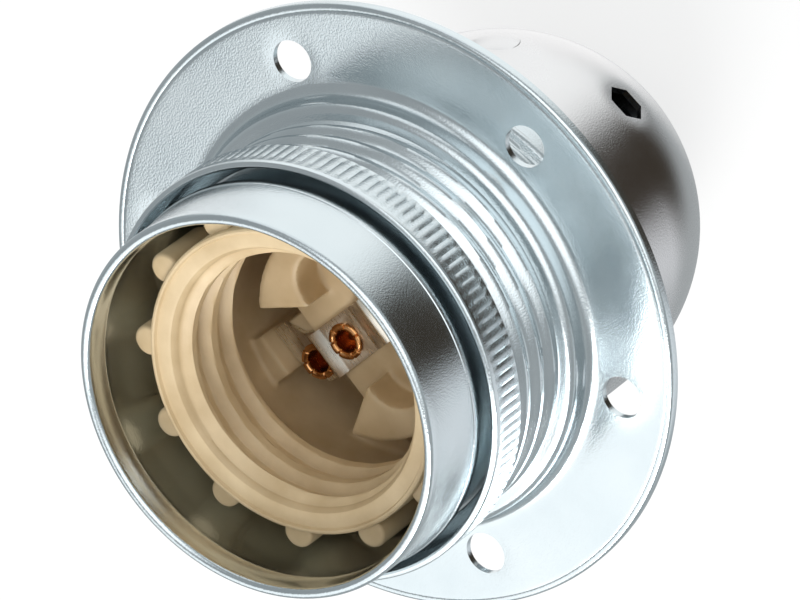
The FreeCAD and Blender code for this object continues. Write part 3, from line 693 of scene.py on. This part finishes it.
bends = [(-4.5, 48.6), (-3.6, 49.1), (-2.6, 49.3), (-1.9, 49.0), (1.4, 46.0), (1.75, 45.5)]
bends += [(2.1, 45.26), (2.5, STRIP_TOP), (6.8, STRIP_TOP), (7.05, 45.28), (8.1, 45.72)]
bends += [(8.3, 45.7), (8.4, 45.5), (8.45, 43.6), (8.5, 43.4), (8.7, TAIL_TOP), (9.4, TAIL_TOP)]
strip = draw("centre_strip", [(-STRIP_WIDTH / 2, y, height) for y, height in bends])
bpy.ops.mesh.select_all(action="SELECT")
bpy.ops.mesh.extrude_region_move(TRANSFORM_OT_translate={"value": (STRIP_WIDTH * MM, 0, 0)})
bpy.ops.mesh.select_all(action="SELECT")
bpy.ops.mesh.normals_make_consistent(inside=False)
bpy.ops.object.mode_set(mode="OBJECT")
if strip.data.polygons[8].normal.z < 0:
    strip.data.flip_normals()
use(strip, "SOLIDIFY", {"thickness": SHEET * MM, "offset": -1})
outline = [(-2.5, 9.2), (2.5, 9.2), (3.0, 10.6), (5.0, 11.8), (5.0, 13.4), (1.2, 13.4)]
outline += [(-2.2, 11.6)]
join_in(strip, plate("tail", outline, TAIL_TOP - SHEET, TAIL_TOP), "UNION")
for y in (INNER_EYELET, OUTER_EYELET):
    join_in(strip, post("eyelet_hole", 1.3, 0, y, 42, 47), "DIFFERENCE")
use(strip, "BEVEL", {"width": 0.12 * MM, "segments": 2, "limit_method": "ANGLE",
                     "angle_limit": math.radians(40)})
finish(strip, nickel, "holder", "centre_contact")

# %% [markdown]
# ## Copper eyelets
# Each eyelet is a thin tube whose end is flared over and hammered down, and the flare splits at its
# edge in several places. The tube with its curled rim is turned, and the columns at the splits are
# pressed in.

# %% Copper eyelets
EYELET_COLUMNS = 72
SPLITS = (3, 13, 22, 34, 41, 53, 64)
PROFILE = [(1.3, -3.4), (1.3, -0.1), (1.62, 0), (1.84, 0.04), (1.9, 0.12), (1.84, 0.22)]
PROFILE += [(1.66, 0.32), (1.45, 0.34), (1.28, 0.26), (1.17, 0.1), (1.12, -0.2)]
PROFILE += [(1.1, -3.2), (0.4, -3.25), (0.4, -3.4)]


def eyelet(name, y, top, node):
    piece = turn(name, [(radius, top + height) for radius, height in PROFILE], EYELET_COLUMNS)
    for vertex in piece.data.vertices:
        turned = math.atan2(vertex.co.y, vertex.co.x) / math.tau
        column = round(turned * EYELET_COLUMNS) % EYELET_COLUMNS
        if vertex.co.z / MM > top + 0.02 and column in SPLITS:
            vertex.co.x *= 0.93
            vertex.co.y *= 0.93
            vertex.co.z -= 0.16 * MM
        vertex.co.y += y * MM
    finish(piece, copper, "holder", node)


eyelet("inner_eyelet", INNER_EYELET, STRIP_TOP, "plate_eyelet")
eyelet("outer_eyelet", OUTER_EYELET, TAIL_TOP, "step_eyelet")

# %% [markdown]
# ## Studio floor
# The holder stands on its cable entry on a pale floor. The floor is matt paint, which takes the
# holder's shadow. To rays from the camera, or by way of a mirror or glass, it also glows a little,
# so that it looks white in a plain light.

# %% Studio floor
FLOOR_GLOW = 0.72
floor_paint = bpy.data.materials.new("matt white floor")
floor_paint.use_nodes = True
tree = floor_paint.node_tree
paint = tree.nodes["Principled BSDF"]
paint.inputs["Base Color"].default_value = tint("#F6F6F4")
paint.inputs["Roughness"].default_value = 0.9
ray = add_node(tree, "ShaderNodeLightPath", {}, {}).outputs
mirrored = add_node(tree, "ShaderNodeMath", {"operation": "MAXIMUM"},
                    {0: ray["Is Glossy Ray"], 1: ray["Is Transmission Ray"]})
seen = add_node(tree, "ShaderNodeMath", {"operation": "MAXIMUM"},
                {0: ray["Is Camera Ray"], 1: mirrored.outputs["Value"]})
white = add_node(tree, "ShaderNodeEmission", {}, {"Color": (1, 1, 1, 1), "Strength": 1.0})
share = add_node(tree, "ShaderNodeMath", {"operation": "MULTIPLY"},
                 {0: seen.outputs["Value"], 1: FLOOR_GLOW})
blend = add_node(tree, "ShaderNodeMixShader", {}, {"Fac": share.outputs["Value"]})
tree.links.new(paint.outputs["BSDF"], blend.inputs[1])
tree.links.new(white.outputs["Emission"], blend.inputs[2])
tree.links.new(blend.outputs["Shader"], tree.nodes["Material Output"].inputs["Surface"])
bpy.ops.object.select_all(action="DESELECT")
bpy.ops.mesh.primitive_plane_add(size=8, location=(0, 0, 0))
floor = bpy.context.object
floor.name = "floor"
floor.data.materials.append(floor_paint)
floor.visible_glossy = False
print("floor ready")

# %% [markdown]
# ## Studio light
# Plated metal shows whatever is round it, so the studio decides how it looks. Most of the room is
# an even grey, which keeps the metal at a middling tone. Soft patches of the world stand for the
# white panels and the one dark cloth that a photographer puts round a shiny thing. A broad lamp
# shapes the ceramic, and a small panel near the holder makes the flat flange run from light to
# dark.

# %% Studio light
world = bpy.data.worlds.new("studio")
bpy.context.scene.world = world
world.use_nodes = True
tree = world.node_tree
direction = add_node(tree, "ShaderNodeTexCoord", {}, {}).outputs["Generated"]


def soft_patch(azimuth, elevation, core, whole):
    """How far a direction lies inside a soft round patch of the studio, from 0 to 1."""
    flat = math.cos(math.radians(elevation))
    axis = (flat * math.cos(math.radians(azimuth)), flat * math.sin(math.radians(azimuth)),
            math.sin(math.radians(elevation)))
    facing = add_node(tree, "ShaderNodeVectorMath", {"operation": "DOT_PRODUCT"},
                      {0: direction, 1: axis})
    edge = add_node(tree, "ShaderNodeMapRange", {"interpolation_type": "SMOOTHSTEP"},
                    {"Value": facing.outputs["Value"], "From Min": math.cos(math.radians(whole)),
                     "From Max": math.cos(math.radians(core))})
    return edge.outputs["Result"]


# azimuth, elevation, size of the core and of the whole in degrees, and colour
PATCHES = [
    (0, 90, 60, 100, (0.40, 0.42, 0.43, 1)),        # the ceiling, a little dimmer than the walls
    (242, -52, 14, 38, (0.055, 0.045, 0.035, 1)),   # the dark cloth
    (335, -38, 20, 46, (1.25, 1.27, 1.27, 1)),      # the large panel beside it
    (40, -62, 8, 30, (1.2, 1.2, 1.2, 1)),
    (330, -4, 8, 30, (1.1, 1.13, 1.15, 1)),
    (272, 50, 12, 44, (1.8, 1.83, 1.85, 1)),        # the panel above, for bends and edges
    (196, -30, 12, 34, (0.95, 0.97, 1.0, 1)),
]
studio = (0.45, 0.48, 0.49, 1)
for azimuth, elevation, core, whole, colour in PATCHES:
    patch = soft_patch(azimuth, elevation, core, whole)
    studio = add_node(tree, "ShaderNodeMix", {"data_type": "RGBA"},
                      {"Factor": patch, "A": studio, "B": colour}).outputs["Result"]
background = tree.nodes["Background"]
tree.links.new(studio, background.inputs["Color"])


MIDDLE = Vector((0, 0, 0.04))


def soft_lamp(name, azimuth, elevation, distance, size, energy):
    """A square lamp that faces the holder from a direction in degrees."""
    flat = distance * math.cos(math.radians(elevation))
    place = (flat * math.cos(math.radians(azimuth)), flat * math.sin(math.radians(azimuth)),
             MIDDLE.z + distance * math.sin(math.radians(elevation)))
    bpy.ops.object.light_add(type="AREA", location=place)
    lamp = bpy.context.object
    lamp.name = name
    lamp.data.size = size
    lamp.data.energy = energy
    lamp.rotation_euler = (MIDDLE - lamp.location).to_track_quat("-Z", "Y").to_euler()


soft_lamp("key_lamp", azimuth=155, elevation=45, distance=1.5, size=0.8, energy=18)
soft_lamp("near_card", azimuth=122, elevation=47, distance=0.42, size=0.40, energy=0.5)
print("studio ready")

# %% [markdown]
# ## Camera
# A long lens from three quarters of a metre keeps the round shapes honest. The camera looks down
# at 49 degrees and is rolled over, so that the mouth comes towards the lower left.

# %% Camera
bpy.ops.object.camera_add(location=(0.0001, -0.50666, 0.62394))
camera = bpy.context.object
camera.name = "camera"
camera.rotation_mode = "ZYX"
camera.rotation_euler = (math.radians(41.0), 0, math.radians(-126.4))
camera.data.sensor_width = 36
camera.data.lens = 360
bpy.context.scene.camera = camera
bpy.context.scene.view_settings.view_transform = "Standard"
print("camera", round(camera.location.length, 3), "m away")
